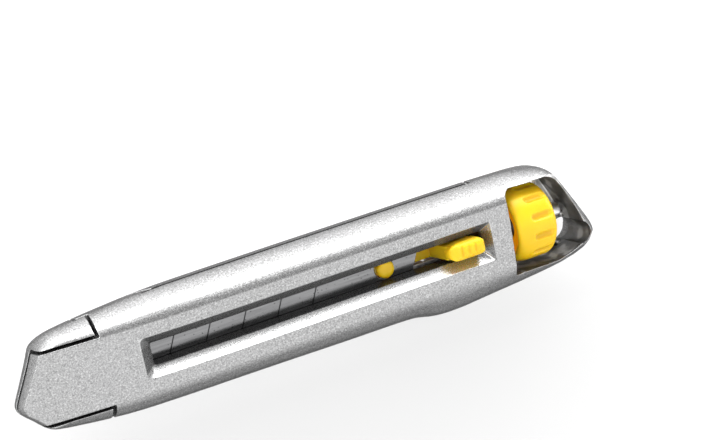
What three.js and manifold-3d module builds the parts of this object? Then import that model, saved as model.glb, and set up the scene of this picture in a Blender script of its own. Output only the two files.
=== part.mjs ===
// Screw-lock snap-off utility knife, 165 mm body, 18 mm blade.
//
// Working axes of the knife, in millimetres, used for every number below:
//   X  from the blade mouth (0) to the tail (165), along the blade
//   Y  across the handle, + toward the spine, 0 on the centre line of both slots
//   Z  through the thickness, 0 on the flat back face, + toward the front face
// The last group shifts this frame so that the origin is the centre of the
// footprint, at the height of the lowest point (the rim of the lock wheel).
//
// How the knife works: the handle is two castings. The back half carries the
// toothed rack and is drawn along the front half by the stud and the lock
// wheel; the lugs at the nose ride up on each other and clamp the blade.
// The blade hangs on the peg of the slider, whose fingers drop into the rack.

import * as THREE from 'three';
import { mergeVertices } from 'three/addons/utils/BufferGeometryUtils.js';
import Module from 'manifold-3d';

const wasm = await Module();
wasm.setup();

// ---------------------------------------------------------------- dimensions
const GAP = 0.3;               // clearance between touching pieces

// handle
const T = 16.5;                // thickness of the handle
const FLAT = 8.5;              // half width of the flat faces, up to the crease
const SEAM_LO = 7.3;           // top of the back half along the sides
const SEAM_HI = 7.65;          // bottom of the front half along the sides
const DRAW = 0.75;             // travel of the back half when the wheel is undone
const LUG_Y = 8.75;            // edge of the front tongue between the nose lugs
const LUG_IN = 9.55;           // inner face of the nose lugs
const LUG_BACK_Y = 10.45;      // edge of the back plate between the rear lugs
const LUG_BACK_IN = 10.9;      // inner face of the rear lugs
const LUG_TOP_X = 20.05;       // end of the nose lugs above the seam
const LUG_TOP_GAP = 0.9;       // gap between it and the front half
const LUG_X = 17.0;            // step of the back half in front of the rear lugs
const LUG_GAP = 0.9;
const WEDGE = 0.1;             // slope of the faces of the lugs, mm per mm
const RAMP = 1.75;             // slope of the tail side of the rear lugs
const RAMP_X = 28.22;          // its position at Z = 1.5
const RAMP_GAP = 1.1;          // gap along X between it and the back half

// blade channel and slots
const BLADE_W = 18, BLADE_T = 0.6, BLADE_Z = 7.45;
const CH_Y = 9.3, CH_LO = 6.9, CH_HI = 8.0, CH_END = 128;
const FS = { x0: 30.0, x1: 131.1, y: 5.3, ix0: 33.5, ix1: 129.2, iy: 2.85, depth: 3.0 };
const BS = { x0: 38.8, x1: 129.9, y: 5.05, wall: 2.3 };
const POCKET = { x0: 35.6, x1: 39.1, y: 2.6, z: 4.8 };
const PITCH = 5.06;            // pitch of the rack
const TOOTH_GAP = 1.3;
const RACK = { x0: 43.4, x1: 125.1, y0: 2.3, y1: 6.8, z0: 3.0, z1: 6.4, seat: 2.6 };

// tail
const BULK_X0 = 135.3, WIN_X0 = 137.2, WIN_X1 = 153.0, WIN_Y = 11.5, WIN_R = 3.1, WIN_DRAFT = 1.05;
const WEB_LO = 3.6, WEB_HI = 5.3;
const HANG = { x: 158.0, y: -6.0, r: 3.0 };
const COLLAR = { r: 4.25, top: 6.1 };
const AXIS_Z = 7.8;            // axis of the wheel and stud

// lock
const WHEEL = { x0: 139.0, x1: 151.4, r: 10.25, bore: 4.5, grooves: 12 };
const INSERT = { x0: 140.6, x1: 150.6, r: 4.2, bore: 3.5 };
const WASHER = { x0: 137.5, x1: 138.7, r: 5.2, bore: 3.6 };
const STUD = { x0: 130.7, x1: 153.6, r: 3.1, tipX: 156.8, tipR: 2.0 };
const PIN = { x: 132.4, r: 0.75, half: 4.85, hole: 1.05 };
const BOSS = { x0: 130.4, x1: 134.3, y: 5.0, z1: 11.6, bore: 3.4 };

// slider
const PEG = { x: 102.4, r: 2.5, hole: 2.9, top: 9.5 };

// ------------------------------------------------------------------- helpers
function solid(geometry) {
  const g = geometry.clone();
  g.deleteAttribute('normal');
  g.deleteAttribute('uv');
  const m = mergeVertices(g, 1e-4);
  const p = m.attributes.position.array, t = [];
  const idx = m.index.array;
  let volume = 0;
  for (let i = 0; i < idx.length; i += 3) {
    const [a, b, c] = [idx[i], idx[i + 1], idx[i + 2]];
    if (a === b || b === c || c === a) continue;
    t.push(a, b, c);
    const [ax, ay, az] = [p[3 * a], p[3 * a + 1], p[3 * a + 2]];
    const [bx, by, bz] = [p[3 * b], p[3 * b + 1], p[3 * b + 2]];
    const [cx, cy, cz] = [p[3 * c], p[3 * c + 1], p[3 * c + 2]];
    volume += ax * (by * cz - bz * cy) + ay * (bz * cx - bx * cz) + az * (bx * cy - by * cx);
  }
  if (volume < 0) for (let i = 0; i < t.length; i += 3) [t[i + 1], t[i + 2]] = [t[i + 2], t[i + 1]];
  return new wasm.Manifold(new wasm.Mesh({
    numProp: 3,
    vertProperties: new Float32Array(p),
    triVerts: new Uint32Array(t),
  }));
}

function geometryOf(manifold) {
  const m = manifold.getMesh();
  const g = new THREE.BufferGeometry();
  g.setAttribute('position', new THREE.BufferAttribute(new Float32Array(m.vertProperties), 3));
  g.setIndex(new THREE.BufferAttribute(new Uint32Array(m.triVerts), 1));
  g.computeVertexNormals();
  return g;
}

const shapeOf = (pts) => new THREE.Shape(pts.map(([a, b]) => new THREE.Vector2(a, b)));
const extruded = (pts, depth) => new THREE.ExtrudeGeometry(shapeOf(pts), { depth, bevelEnabled: false, steps: 1 });

// outline in X,Y raised from z0 to z1
function plan(pts, z0, z1) {
  return solid(extruded(pts, z1 - z0).translate(0, 0, z0));
}
// outline in X,Z swept from y0 to y1
function elevation(pts, y0, y1) {
  return solid(extruded(pts, y1 - y0).rotateX(Math.PI / 2).translate(0, y1, 0));
}
// outline in Y,Z swept from x0 to x1
function section(pts, x0, x1) {
  const turn = new THREE.Matrix4().makeBasis(
    new THREE.Vector3(0, 1, 0), new THREE.Vector3(0, 0, 1), new THREE.Vector3(1, 0, 0));
  return solid(extruded(pts, x1 - x0).applyMatrix4(turn).translate(x0, 0, 0));
}
function block(x0, x1, y0, y1, z0, z1) {
  return solid(new THREE.BoxGeometry(x1 - x0, y1 - y0, z1 - z0)
    .translate((x0 + x1) / 2, (y0 + y1) / 2, (z0 + z1) / 2));
}
// turned piece about the X axis of the lock: profile [x, r], first and last on the axis
function turned(profile, segments) {
  const pts = profile.map(([x, r]) => new THREE.Vector2(r, x));
  return solid(new THREE.LatheGeometry(pts, segments).rotateZ(-Math.PI / 2).translate(0, 0, AXIS_Z));
}
const rodX = (x0, x1, r, n = 32) => turned([[x0, 0], [x0, r], [x1, r], [x1, 0]], n);
function rodY(x, z, r, y0, y1, n = 20) {
  return solid(new THREE.CylinderGeometry(r, r, y1 - y0, n).translate(x, (y0 + y1) / 2, z));
}
function rodZ(x, y, r, z0, z1, n = 32) {
  return solid(new THREE.CylinderGeometry(r, r, z1 - z0, n).rotateX(Math.PI / 2).translate(x, y, (z0 + z1) / 2));
}
const both = (make) => make(1).add(make(-1));
const yBlock = (x0, x1, s, ya, yb, z0, z1) => block(x0, x1, Math.min(s * ya, s * yb), Math.max(s * ya, s * yb), z0, z1);

function roundRect(x0, x1, y0, y1, r, n = 6) {
  const pts = [];
  const corner = (cx, cy, a0) => {
    for (let i = 0; i <= n; i++) {
      const a = a0 + (i / n) * Math.PI / 2;
      pts.push([cx + r * Math.cos(a), cy + r * Math.sin(a)]);
    }
  };
  corner(x1 - r, y1 - r, 0);
  corner(x0 + r, y1 - r, Math.PI / 2);
  corner(x0 + r, y0 + r, Math.PI);
  corner(x1 - r, y0 + r, 1.5 * Math.PI);
  return pts;
}

function lookup(table, x) {
  if (x <= table[0][0]) return table[0][1];
  for (let i = 1; i < table.length; i++) {
    if (x <= table[i][0]) {
      const [x0, a] = table[i - 1], [x1, b] = table[i];
      return a + (b - a) * (x - x0) / (x1 - x0);
    }
  }
  return table[table.length - 1][1];
}

// --------------------------------------------------------- body of the handle
// outline in plan at the seam, from the tip of the nose to the end of the tail
const SPINE_SIDE = [
  [-1.55, -3.7], [-1.42, -2.95], [-0.85, -1.75], [1.75, 2.85], [4, 7], [4.75, 8.5], [5.55, 9.9], [6.6, 10.81],
  [8.2, 11.64], [10.5, 12.29], [14.5, 12.8], [20, 13.29], [25, 13.68], [33, 14.23], [40, 14.55], [48, 14.65],
  [60, 14.7], [75, 14.75], [90, 14.75], [105, 14.75], [120, 14.75], [132, 14.7], [139, 14.6], [145, 14.4],
  [148.5, 14.12], [150.8, 13.78], [152.8, 13.19], [154.5, 12.1], [156, 10.35], [157.9, 7.3], [160.4, 3.1],
  [162.4, -0.7], [163.7, -3.3], [164.4, -5.2], [164.6, -6.8]];
const EDGE_SIDE = [
  [-1.55, -3.7], [-1.3, -4.8], [-0.5, -5.8], [1.1, -7.3], [4, -10.1], [5.8, -11.08], [8.3, -11.79], [13, -12.47],
  [18.5, -13.11], [24, -13.61], [29, -13.88], [37, -14.05], [45, -14.15], [60, -14.3], [70, -14.45], [80, -14.65],
  [90, -14.8], [100, -14.9], [104, -15], [107, -15.2], [109.5, -15.7], [112, -16.3], [115, -16.7], [118, -16.8],
  [121.5, -16.75], [125, -16.5], [130, -16.1], [138, -15.5], [145, -14.95], [150, -14.4], [154, -13.9],
  [157.5, -13.2], [160.5, -12.1], [162.4, -10.8], [163.6, -9.4], [164.3, -8.2], [164.6, -6.8]];
// height of the seam, and half thickness and middle plane along the length
const SEAM = 7.3;
const HALF_T = [[-1, 3.2], [2, 3.8], [5, 4.4], [8.5, 5.0], [12, 5.5], [17, 6.2], [22, 6.72], [28, 7.25],
  [35, 7.7], [42, 8.0], [50, 8.17], [60, 8.25], [170, 8.25]];
const MIDDLE = [[0, 7.8], [20, 7.8], [40, 8.05], [60, 8.25], [170, 8.25]];
const topZ = (x) => lookup(MIDDLE, x) + lookup(HALF_T, x);
const botZ = (x) => lookup(MIDDLE, x) - lookup(HALF_T, x);

// width of the shoulder in plan, from the side of the handle to the crease
const TAIL_UP = 4.1, TAIL_DOWN = 3.0;
function shoulder(x, y, up) {
  const side = Math.max(Math.abs(y) - FLAT, 0.8);
  const nose = Math.min(Math.max((x - 4.5) / 4.5, 0), 1);
  const tail = Math.min(Math.max((x - 140) / 13, 0), 1);
  const mid = 0.8 + (side - 0.8) * nose;
  return mid + ((up ? TAIL_UP : TAIL_DOWN) - mid) * tail;
}
// roundness of the shoulder: 1 is a plain chamfer, 2 an ellipse, more is boxier
const POWER_DOWN = 3.3;
const POWER_SPINE = [[8, 1.8], [20, 1.55], [140, 1.5], [155, 2.3], [160, 1.8]];
const POWER_EDGE = [[8, 2.0], [30, 2.1], [140, 2.1], [155, 1.55]];

// closed skin from two chains of x-monotone points per level; levels run from
// the lowest to the highest, each {spine, edge} with a shared first and last point
function skin(levels) {
  const pos = [], idx = [];
  const rings = levels.map(({ spine, edge }) => {
    const loop = [...spine, ...edge.slice(1, -1).reverse()];
    const base = pos.length / 3;
    for (const p of loop) pos.push(...p);
    return { base, n: loop.length, ns: spine.length, ne: edge.length, loop };
  });
  for (let k = 1; k < rings.length; k++) {
    const a = rings[k - 1], b = rings[k];
    for (let i = 0; i < a.n; i++) {
      const j = (i + 1) % a.n;
      idx.push(a.base + i, b.base + i, b.base + j, a.base + i, b.base + j, a.base + j);
    }
  }
  const cap = (ring, flip) => {
    const s = [], e = [];
    for (let i = 0; i < ring.ns; i++) s.push(i);
    e.push(0);
    for (let i = ring.n - 1; i >= ring.ns; i--) e.push(i);
    e.push(ring.ns - 1);
    let i = 0, j = 0;
    while (i < s.length - 1 || j < e.length - 1) {
      const nextS = i < s.length - 1 ? ring.loop[s[i + 1]][0] : Infinity;
      const nextE = j < e.length - 1 ? ring.loop[e[j + 1]][0] : Infinity;
      let tri;
      if (nextS <= nextE) { tri = [s[i], s[i + 1], e[j]]; i++; } else { tri = [s[i], e[j + 1], e[j]]; j++; }
      if (tri[0] === tri[1] || tri[1] === tri[2] || tri[0] === tri[2]) continue;
      const [a, b, c] = tri.map((v) => v + ring.base);
      if (flip) idx.push(a, c, b); else idx.push(a, b, c);
    }
  };
  cap(rings[0], false);
  cap(rings[rings.length - 1], true);
  const g = new THREE.BufferGeometry();
  g.setAttribute('position', new THREE.BufferAttribute(new Float32Array(pos), 3));
  g.setIndex(idx);
  return solid(g);
}

function inward(chain, sign) {
  return chain.map(([x, y], i) => {
    const a = chain[Math.max(i - 1, 0)], b = chain[Math.min(i + 1, chain.length - 1)];
    const dx = b[0] - a[0], dy = b[1] - a[1], l = Math.hypot(dx, dy);
    return sign > 0 ? [dy / l, -dx / l] : [-dy / l, dx / l];
  });
}

function handleBody(arc = 6) {
  const END = 80 * Math.PI / 180;
  const normalsS = inward(SPINE_SIDE, 1), normalsE = inward(EDGE_SIDE, -1);
  normalsS[0] = normalsE[0] = [1, 0];
  normalsS[normalsS.length - 1] = normalsE[normalsE.length - 1] = [-1, 0];
  const level = (phi, up) => {
    const side = (chain, normals, powers) => chain.map(([x, y], i) => {
      const p = 2 / (up ? lookup(powers, x) : POWER_DOWN);
      const c1 = Math.cos(END) ** p, s1 = Math.sin(END) ** p;
      const d = phi === 0 ? 0 : (1 - Math.cos(phi) ** p) / (1 - c1);
      const h = phi === 0 ? 0 : Math.sin(phi) ** p / s1;
      const w = shoulder(x, y, up) * d;
      const px = x + normals[i][0] * w, py = y + normals[i][1] * w;
      return [px, py, SEAM + ((up ? topZ(px) : botZ(px)) - SEAM) * h];
    });
    const spine = side(SPINE_SIDE, normalsS, POWER_SPINE), edge = side(EDGE_SIDE, normalsE, POWER_EDGE);
    edge[0] = spine[0];
    edge[edge.length - 1] = spine[spine.length - 1];
    return { spine, edge };
  };
  const levels = [];
  for (let k = arc; k >= 1; k--) levels.push(level(END * k / arc, false));
  levels.push(level(0, true));
  for (let k = 1; k <= arc; k++) levels.push(level(END * k / arc, true));
  return skin(levels);
}

// --------------------------------------------------------------- division
// tail end of the back half in plan
const TAIL_SEAM = [[135.45, 20], [135.45, 7.4], [135.1, 9.2], [134.5, 10.9], [133.7, 12.2], [132.8, 13.3], [131.6, 14.6], [130.6, 15.6]].slice(1);
const TAIL_SEAM_EDGE = [[135.45, -4.2], [135.1, -5.9], [134.25, -8.2], [132.65, -10.8], [131.1, -13.2], [130.0, -14.6], [129.0, -16.2], [128.2, -17.6]];
const tailSeam = (dx) => [...TAIL_SEAM.slice().reverse(), ...TAIL_SEAM_EDGE].map(([x, y]) => [x + dx, y]);
const SEAM_GAP_TAIL = 0.85;

function lugOutline(x, gapSide) {
  // end face of a lug in X,Z below the seam
  return [[x - WEDGE * 3.5, -2], [x + WEDGE * 8.5, 10]];
}

function backRegion() {
  const seam = tailSeam(0);
  const lower = plan([[-10, -20], [seam[seam.length - 1][0], -20], ...seam.slice().reverse(), [seam[0][0], 20], [-10, 20]], -5, SEAM_LO);
  const f = lugOutline(LUG_X);
  const r = [[RAMP_X + RAMP_GAP - RAMP * 3.5, -2], [RAMP_X + RAMP_GAP + RAMP * 8.5, 10]];
  const rearLugs = both((s) => elevation([f[0], [Math.max(r[0][0], 26), -2], [Math.max(r[0][0], 26), (Math.max(r[0][0], 26) - RAMP_X - RAMP_GAP) / RAMP + 1.5], r[1], f[1]],
    s > 0 ? LUG_BACK_Y : -20, s > 0 ? 20 : -LUG_BACK_Y));
  const noseLugs = both((s) => elevation([[-10, SEAM_LO - 1], [LUG_X + WEDGE * (SEAM_LO - 2.5), SEAM_LO - 1], [LUG_X + WEDGE * (SEAM_LO - 1.5), SEAM_LO],
    [LUG_TOP_X + 0.55, SEAM_LO], [LUG_TOP_X, 12.5], [LUG_TOP_X, 20], [-10, 20]],
    s > 0 ? LUG_IN : -20, s > 0 ? 20 : -LUG_IN));
  return lower.subtract(rearLugs).add(noseLugs);
}

function frontRegion() {
  const upper = plan([[-10, -20], [170, -20], [170, 20], [-10, 20]], SEAM_HI, 22);
  const x = LUG_TOP_X + LUG_TOP_GAP;
  const noseCut = both((s) => elevation([[-10, SEAM_HI - 3], [x + 0.55, SEAM_HI - 3], [x + 0.55, SEAM_HI], [x, 12.5], [x, 22], [-10, 22]],
    s > 0 ? LUG_Y : -20.5, s > 0 ? 20.5 : -LUG_Y));
  const f = LUG_X + LUG_GAP;
  const x0 = Math.max(RAMP_X - RAMP * 3.5, 25);
  const lugs = both((s) => elevation([[f - WEDGE * 3.5, -2], [x0, -2], [x0, (x0 - RAMP_X) / RAMP + 1.5],
    [RAMP_X + RAMP * (SEAM_HI - 1.4), SEAM_HI + 0.1], [x + 0.56, SEAM_HI + 0.1], [x + 0.56, SEAM_LO - GAP], [f + WEDGE * (SEAM_LO - GAP - 1.5), SEAM_LO - GAP]],
    s > 0 ? LUG_BACK_IN : -20, s > 0 ? 20 : -LUG_BACK_IN));
  const seam = tailSeam(SEAM_GAP_TAIL);
  const tail = plan([[seam[0][0], 20], ...seam, [seam[seam.length - 1][0], -20], [170, -20], [170, 20]].reverse(), -5, 22);
  return upper.subtract(noseCut).add(lugs).add(tail);
}

// tapered mouth of the front slot, following the front face, with vertical walls below
function frontSlot() {
  const outline = (x0, x1, y, r0, r1) => {
    // spine chain and edge chain from x0 to x1 with quarter-round corners
    const chain = (s) => {
      const p = [[x0, 0]];
      const n = 4;
      for (let i = 0; i <= n; i++) {
        const a = Math.PI - (i / n) * Math.PI / 2;
        p.push([x0 + r0 + r0 * Math.cos(a), s * (y - r0 + r0 * Math.sin(a))]);
      }
      for (const x of [42, 50, 60, 95]) p.push([x, s * y]);
      for (let i = 0; i <= n; i++) {
        const a = Math.PI / 2 - (i / n) * Math.PI / 2;
        p.push([x1 - r1 + r1 * Math.cos(a), s * (y - r1 + r1 * Math.sin(a))]);
      }
      p.push([x1, 0]);
      return p;
    };
    return { spine: chain(1), edge: chain(-1) };
  };
  const lift = (o, dz) => ({
    spine: o.spine.map(([x, y]) => [x, y, topZ(x) + dz]),
    edge: o.edge.map(([x, y]) => [x, y, topZ(x) + dz]),
  });
  const g = FS, k = 1 / g.depth;
  const w = (g.y - g.iy) * k, a = (g.ix0 - g.x0) * k, b = (g.x1 - g.ix1) * k;
  const mouth = skin([
    lift(outline(g.ix0, g.ix1, g.iy, 0.4, 0.4), -g.depth),
    lift(outline(g.x0 - a, g.x1 + b, g.y + w, 1.8, 0.6), 1),
  ]);
  const throat = plan(roundRect(g.ix0, g.ix1, -g.iy, g.iy, 0.4, 4), 5, 15);
  return mouth.add(throat);
}

const BODY = handleBody();

// ------------------------------------------------------------ front half
// recess behind the window, in plan
const RECESS = [[146, 11.6], [150.6, 11.6], [152.0, 11.2], [153.1, 10.45], [154.25, 9.05], [156.05, 5.6], [157.85, 1.3],
  [158.9, -2.4], [159.3, -4.85], [159.15, -6.5], [158.5, -7.85], [157.4, -8.85], [156.0, -9.5], [153.4, -10.45], [150.5, -11.1], [146, -11.6]];
const RECESS_BACK = [[149, 11.3], [151.0, 11.1], [152.9, 10.7], [154.3, 9.8], [155.8, 7.9], [157.8, 4.8], [159.8, 1.4], [161.4, -1.5],
  [162.2, -4.3], [162.1, -6.5], [161.3, -8.3], [159.6, -9.6], [156.8, -10.2], [149, -10.9]];

// drafted nose edge of the window, opening towards the edge side of the front face
function windowDraft() {
  const g = new THREE.BoxGeometry(1, 1, 1), p = g.attributes.position;
  for (let i = 0; i < p.count; i++) {
    const spine = p.getY(i) > 0, high = p.getZ(i) > 0, nose = p.getX(i) < 0;
    const x = WIN_X0 + (nose ? (spine || !high ? 0.06 : -WIN_DRAFT) : 1.8);
    p.setXYZ(i, x, spine ? WIN_Y - WIN_R - 0.1 : -WIN_Y, high ? 18 : 9.4);
  }
  return solid(g);
}

function frontShell() {
  let s = BODY.intersect(frontRegion());
  s = s.subtract(block(-5, CH_END, -CH_Y, CH_Y, 5, CH_HI));
  s = s.subtract(frontSlot());
  s = s.subtract(both((k) => yBlock(38, 126, k, 4.6, 11.0, 6, 13.6)));
  // pocket for the stud boss of the back half
  s = s.subtract(block(129.2, BULK_X0 + 0.02, -BOSS.y - 0.6, BOSS.y + 0.6, 6, BOSS.z1 + 0.6));
  // notch in the bulkhead, open to the back, and wheel window
  s = s.subtract(block(BULK_X0 - 2, WIN_X0 + 1, -3.6, 3.6, -5, AXIS_Z));
  s = s.subtract(rodX(BULK_X0 - 2, WIN_X0 + 1, 3.6, 32));
  s = s.subtract(plan(roundRect(WIN_X0, WIN_X1, -WIN_Y, WIN_Y, WIN_R, 6), -5, 22));
  s = s.subtract(windowDraft());
  // recesses of the tail, which leave a web with the hanging hole
  s = s.subtract(plan(RECESS.slice().reverse(), WEB_HI, 22));
  s = s.subtract(plan(RECESS_BACK.slice().reverse(), -5, WEB_LO));
  // raised collar round the hanging hole
  const collar = rodZ(HANG.x, HANG.y, COLLAR.r, WEB_HI - 0.5, COLLAR.top, 40)
    .intersect(plan(RECESS.map(([x, y]) => [x, y]).reverse(), 0, 22));
  s = s.add(collar);
  s = s.subtract(rodZ(HANG.x, HANG.y, HANG.r, -5, 22, 40));
  // notch for the end of the stud
  s = s.subtract(block(150, 155.2, -3.5, 3.5, 2, 8));
  return s;
}

// ------------------------------------------------------------- back half
function backShell() {
  let s = BODY.intersect(backRegion());
  s = s.subtract(block(-5, CH_END, -CH_Y, CH_Y, CH_LO, CH_HI + 0.15));
  // inside of the shell, with the two rails that carry the blade
  s = s.subtract(block(BS.x0, 129.6, -11, 11, BS.wall, 9));
  const rails = both((k) => yBlock(BS.x0 - 1, 129, k, 7.2, 8.7, BS.wall - 0.2, CH_LO));
  s = s.add(rails);
  s = s.subtract(block(BS.x0, BS.x1, -BS.y, BS.y, -5, BS.wall + 0.5));
  // pocket that runs on under the nose end of the slot, with a deep stop on each side
  s = s.subtract(block(POCKET.x0, BS.x0 + 0.2, -BS.y, BS.y, BS.wall, CH_LO + 0.1));
  s = s.add(both((k) => yBlock(POCKET.x0 - 0.4, POCKET.x1, k, POCKET.y, BS.y + 0.5, POCKET.z, CH_LO)));
  // boss that holds the stud
  const boss = block(BOSS.x0, BOSS.x1, -BOSS.y, BOSS.y, BS.wall - 0.3, BOSS.z1);
  s = s.add(boss);
  s = s.subtract(rodX(BOSS.x0 - 1, BOSS.x1 + 2, BOSS.bore, 32));
  s = s.subtract(rodY(PIN.x, AXIS_Z, PIN.hole, -BOSS.y - 1, BOSS.y + 1));
  return s;
}

// toothed rail of the rack, one on each side of the slider
function rackRail(side) {
  let s = yBlock(RACK.x0, RACK.x1, side, RACK.y0, RACK.y1, RACK.z0, RACK.z1)
    .add(yBlock(RACK.x0, RACK.x1, side, BS.y + 0.25, RACK.y1, RACK.seat, RACK.z1 - 0.5));
  for (let k = 1; k <= 16; k++) {
    const c = 126.0 - PITCH * k;
    if (c - 0.8 < RACK.x0) break;
    s = s.subtract(yBlock(c - TOOTH_GAP / 2, c + TOOTH_GAP / 2, side, RACK.y0 - 1, BS.y + 0.2, RACK.z0 - 1, 5.3));
  }
  return s;
}

// ------------------------------------------------------------------ blade
const BLADE = { nose: 6.1, slope: 0.5, tail: 112.0, scoreX: 41.14, scorePitch: 10.19, holeX: PEG.x };
function blade() {
  const h = BLADE_W / 2, z0 = BLADE_Z - BLADE_T / 2, z1 = BLADE_Z + BLADE_T / 2;
  // sharpened lower edge, ground from both faces
  const bar = section([[-h, BLADE_Z - 0.06], [-h + 1.4, z0], [h, z0], [h, z1], [-h + 1.4, z1], [-h, BLADE_Z + 0.06]], 0, 130);
  const outline = plan([[BLADE.nose, -h - 0.01], [BLADE.tail - BLADE.slope * h, -h - 0.01],
    [BLADE.tail + BLADE.slope * h, h + 0.01], [BLADE.nose + 2 * BLADE.slope * h, h + 0.01]], 5, 10);
  let s = bar.intersect(outline);
  for (let k = -2; k <= 4; k++) {
    const x = BLADE.scoreX + BLADE.scorePitch * k;
    const line = [[x - BLADE.slope * 11 - 0.16, -11], [x - BLADE.slope * 11 + 0.16, -11], [x + BLADE.slope * 11 + 0.16, 11], [x + BLADE.slope * 11 - 0.16, 11]];
    s = s.subtract(plan(line, z1 - 0.14, z1 + 1));
  }
  return s.subtract(rodZ(BLADE.holeX, 0, PEG.hole, 4, 11, 32));
}

// ----------------------------------------------------------------- slider
function slider() {
  const stripEnd = [[100.4, 1.9], [100.1, 1.78], [100.0, 1.5], [100.0, -1.5], [100.1, -1.78], [100.4, -1.9]];
  let s = plan([...stripEnd, [127.2, -1.9], [127.2, 1.9]], 2.6, 5.5);
  s = s.add(rodZ(PEG.x, 0, 1.85, 5.3, 7.2, 24));
  // peg with a rounded head
  const peg = [[7.0, 0], [7.0, PEG.r], [8.6, PEG.r], [9.05, 2.2], [9.35, 1.5], [PEG.top, 0]];
  s = s.add(solid(new THREE.LatheGeometry(peg.map(([z, r]) => new THREE.Vector2(r, z)), 32)
    .rotateX(Math.PI / 2).translate(PEG.x, 0, 0)));
  // arm through the slot
  s = s.add(elevation([[117.5, 5.0], [127.0, 5.0], [127.0, 14], [118.0, 14]], -1.9, 1.9));
  // cross bar with the two fingers that drop into the rack
  s = s.add(plan(roundRect(125.6, 128.8, -4.4, 4.4, 0.35, 3), 1.55, 3.0 - 0.3));
  s = s.add(plan(roundRect(126.2, 128.2, -3.6, 3.6, 0.3, 3), 1.3, 1.8));
  s = s.add(both((k) => yBlock(125.6, 126.4, k, 2.6, 4.3, 2.5, 4.6)));
  s = s.add(block(125.6, 128.4, -1.9, 1.9, 2.0, 3.0));
  // thumb pad: domed both ways, narrower at the nose end, with shallow grooves across it
  const X0 = 117.6, X1 = 128.3, GROOVES = [121.1, 123.1, 125.1];
  const dome = (x) => 17.85 - 0.028 * (x - 124.2) ** 2;
  const top = [[X0, 13.2], [X0, 15.0], [X0 + 0.25, 15.75], [X0 + 0.75, 16.3], [X0 + 1.5, 16.8], [X0 + 2.4, dome(X0 + 2.4)]];
  for (const x of GROOVES) {
    top.push([x - 0.6, dome(x - 0.6)], [x - 0.2, dome(x) - 0.22], [x + 0.2, dome(x) - 0.22], [x + 0.6, dome(x + 0.6)]);
  }
  top.push([X1 - 1.6, dome(X1 - 1.6)], [X1 - 0.8, 17.1], [X1 - 0.3, 16.7], [X1, 16.05], [X1, 13.2]);
  const pad = elevation(top.slice().reverse(), -3, 3);
  // rounded long edges of the pad, and its outline from above
  const half = 2.5, round = [];
  for (let i = 0; i <= 12; i++) {
    const a = (i / 12) * Math.PI;
    round.push([half * Math.cos(a), 15.4 + 2.5 * Math.sin(a)]);
  }
  const outline = [[X0, -1.7], [X0 + 0.5, -2.1], [X0 + 2.0, -2.4], [X0 + 4.5, -2.6], [126.6, -2.6], [127.4, -2.35], [128.0, -1.7], [X1, -0.9],
    [X1, 0.9], [128.0, 1.7], [127.4, 2.35], [126.6, 2.6], [X0 + 4.5, 2.6], [X0 + 2.0, 2.4], [X0 + 0.5, 2.1], [X0, 1.7]];
  return s.add(pad.intersect(section([[-half, 12], [half, 12], ...round], X0 - 1, X1 + 1)).intersect(plan(outline, 12, 20)));
}

// --------------------------------------------------------- lock wheel, stud
function lockWheel() {
  const w = WHEEL;
  // outer profile from the tail face round the rim and dome to the recess of the nose face
  const profile = [
    [w.x1, w.bore], [w.x1, 5.8], [151.2, 6.6], [150.8, 7.7], [150.3, 8.65], [149.75, 9.4], [149.1, 9.95], [148.2, w.r],
    [143.0, w.r], [141.9, 10.12], [140.9, 9.75], [140.1, 9.2], [139.5, 8.55], [139.15, 8.15], [w.x0, 7.8],
    [139.1, 7.4], [139.4, 7.15], [140.2, 6.9], [140.5, 6.5], [140.5, w.bore], [w.x1, w.bore]];
  let s = turned(profile.slice().reverse(), 72);
  for (let i = 0; i < w.grooves; i++) {
    const a = (i + 0.52) * 2 * Math.PI / w.grooves;
    const capsule = new THREE.CapsuleGeometry(1.5, 5.8, 4, 16).rotateZ(Math.PI / 2)
      .translate(146.95, 0, w.r + 0.9).rotateX(a).translate(0, 0, AXIS_Z);
    s = s.subtract(solid(capsule));
  }
  return s;
}
const ringX = (x0, x1, r, bore, n, chamfer = 0.2) => turned([
  [x0, bore], [x1, bore], [x1, r - chamfer], [x1 - chamfer, r], [x0 + chamfer, r], [x0, r - chamfer], [x0, bore]], n);

function lockStud() {
  const s = STUD;
  const body = turned([[s.x0, 0], [s.x0, s.r - 0.4], [s.x0 + 0.4, s.r], [s.x1 - 0.6, s.r], [s.x1, s.r - 0.6],
    [s.x1, s.tipR], [s.tipX - 0.3, s.tipR], [s.tipX, s.tipR - 0.3], [s.tipX, 0]], 32);
  return body.subtract(rodY(PIN.x, AXIS_Z, PIN.hole, -6, 6));
}

// ---------------------------------------------------------------- assembly
const metal = (color, roughness, metalness) => new THREE.MeshStandardMaterial({ color, roughness, metalness });
const PAINT = 0xb9b9bb, YELLOW = 0xf7c41c;

const knife = new THREE.Group();
function piece(name, manifold, material) {
  const mesh = new THREE.Mesh(geometryOf(manifold), material);
  mesh.name = name;
  knife.add(mesh);
}
piece('front_shell', frontShell(), metal(PAINT, 0.45, 0.75));
piece('back_shell', backShell(), metal(PAINT, 0.45, 0.75));
piece('rack_rail_spine_side', rackRail(1), metal(0x8d8f92, 0.4, 0.9));
piece('rack_rail_edge_side', rackRail(-1), metal(0x8d8f92, 0.4, 0.9));
piece('blade', blade(), metal(0x9b9fa3, 0.25, 1.0));
piece('slider', slider(), metal(YELLOW, 0.35, 0.0));
piece('lock_wheel', lockWheel(), metal(YELLOW, 0.35, 0.0));
piece('wheel_insert', ringX(INSERT.x0, INSERT.x1, INSERT.r, INSERT.bore, 32), metal(0xb89a52, 0.35, 1.0));
piece('thrust_washer', ringX(WASHER.x0, WASHER.x1, WASHER.r, WASHER.bore, 32), metal(0x6f7275, 0.35, 1.0));
piece('lock_stud', lockStud(), metal(0x2b2c2e, 0.4, 0.9));
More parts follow.
